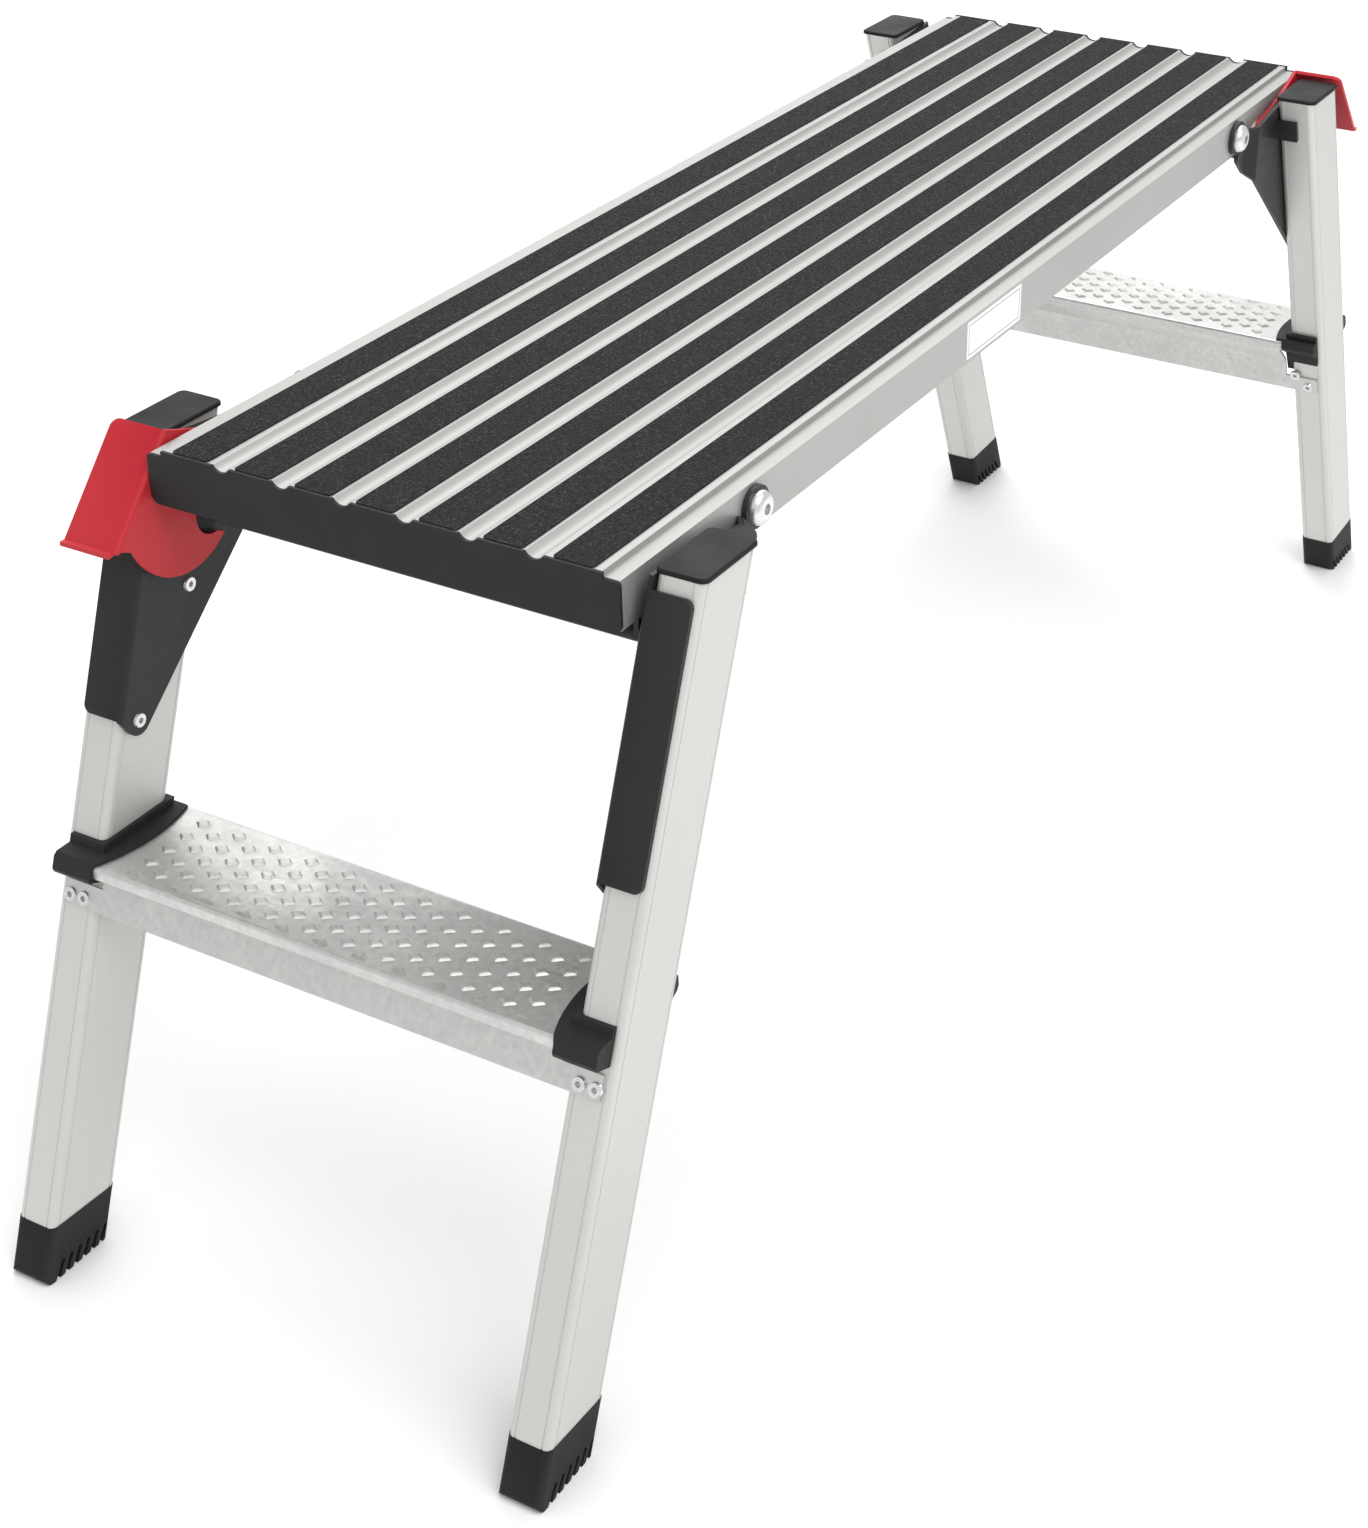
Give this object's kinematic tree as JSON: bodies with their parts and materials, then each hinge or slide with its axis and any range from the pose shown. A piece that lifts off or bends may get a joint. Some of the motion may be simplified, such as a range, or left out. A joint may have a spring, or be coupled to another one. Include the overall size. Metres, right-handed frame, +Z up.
{
  "type": "folding work platform bench",
  "caption": "Folding work platform: ridged aluminium plank on two splayed leg frames with treads, hinge brackets and red latches.",
  "frame": {"origin": "on the floor, under the middle of the plank", "axes": "+X along the plank towards end b, +Y across it, +Z up"},
  "size_m": [1.2762, 0.378, 0.4765],
  "materials": {
    "mill_aluminium": "mill finish, extruded",
    "leg_aluminium": "mill finish, extruded",
    "step_aluminium": "embossed sheet",
    "grip_tape": "gritty",
    "black_moulding": "fine texture",
    "foot_rubber": "moulded",
    "black_steel": "satin powder coat",
    "zinc_fastener": "zinc plated",
    "red_latch": "satin powder coat",
    "label_vinyl": "blank vinyl"
  },
  "bodies": {
    "deck": {"plank": "mill_aluminium", "grip_strip_1": "grip_tape", "grip_strip_2": "grip_tape", "grip_strip_3": "grip_tape", "grip_strip_4": "grip_tape", "grip_strip_5": "grip_tape", "grip_strip_6": "grip_tape", "grip_strip_7": "grip_tape", "pivot_washers": "black_steel", "pivot_nuts": "zinc_fastener", "rail_label": "label_vinyl", "end_cap_a": "black_moulding", "latch_pin_a": "zinc_fastener", "pivot_bolt_a_left": "zinc_fastener", "pivot_bolt_a_right": "zinc_fastener", "end_cap_b": "black_moulding", "latch_pin_b": "zinc_fastener", "pivot_bolt_b_left": "zinc_fastener", "pivot_bolt_b_right": "zinc_fastener"},
    "latch_a": {"latch_a": "red_latch"},
    "frame_a": {"cross_rod_a": "black_steel", "lock_bush_a": "black_moulding", "step_a": "step_aluminium", "bracket_rivets_a": "zinc_fastener", "step_rivets_a": "zinc_fastener", "leg_tube_a_left": "leg_aluminium", "leg_cap_a_left": "black_moulding", "foot_a_left": "foot_rubber", "hinge_bracket_a_left": "black_steel", "step_bracket_a_left": "black_moulding", "leg_tube_a_right": "leg_aluminium", "leg_cap_a_right": "black_moulding", "foot_a_right": "foot_rubber", "hinge_bracket_a_right": "black_steel", "step_bracket_a_right": "black_moulding"},
    "latch_b": {"latch_b": "red_latch"},
    "frame_b": {"cross_rod_b": "black_steel", "lock_bush_b": "black_moulding", "step_b": "step_aluminium", "bracket_rivets_b": "zinc_fastener", "step_rivets_b": "zinc_fastener", "leg_tube_b_left": "leg_aluminium", "leg_cap_b_left": "black_moulding", "foot_b_left": "foot_rubber", "hinge_bracket_b_left": "black_steel", "step_bracket_b_left": "black_moulding", "leg_tube_b_right": "leg_aluminium", "leg_cap_b_right": "black_moulding", "foot_b_right": "foot_rubber", "hinge_bracket_b_right": "black_steel", "step_bracket_b_right": "black_moulding"}
  },
  "joints": [
    {"name": "fold_a", "type": "hinge", "parent": "deck", "child": "frame_a", "pos_m": [-0.3445, 0, 0.4562], "axis": [0, -1, 0], "range_deg": [0, 111]},
    {"name": "fold_b", "type": "hinge", "parent": "deck", "child": "frame_b", "pos_m": [0.3445, 0, 0.4562], "axis": [0, 1, 0], "range_deg": [0, 92]},
    {"name": "latch_a_turn", "type": "hinge", "parent": "deck", "child": "latch_a", "pos_m": [-0.387, 0, 0.4485], "axis": [0, 1, 0], "range_deg": [0, 25]},
    {"name": "latch_b_turn", "type": "hinge", "parent": "deck", "child": "latch_b", "pos_m": [0.387, 0, 0.4485], "axis": [0, -1, 0], "range_deg": [0, 25]}
  ]
}
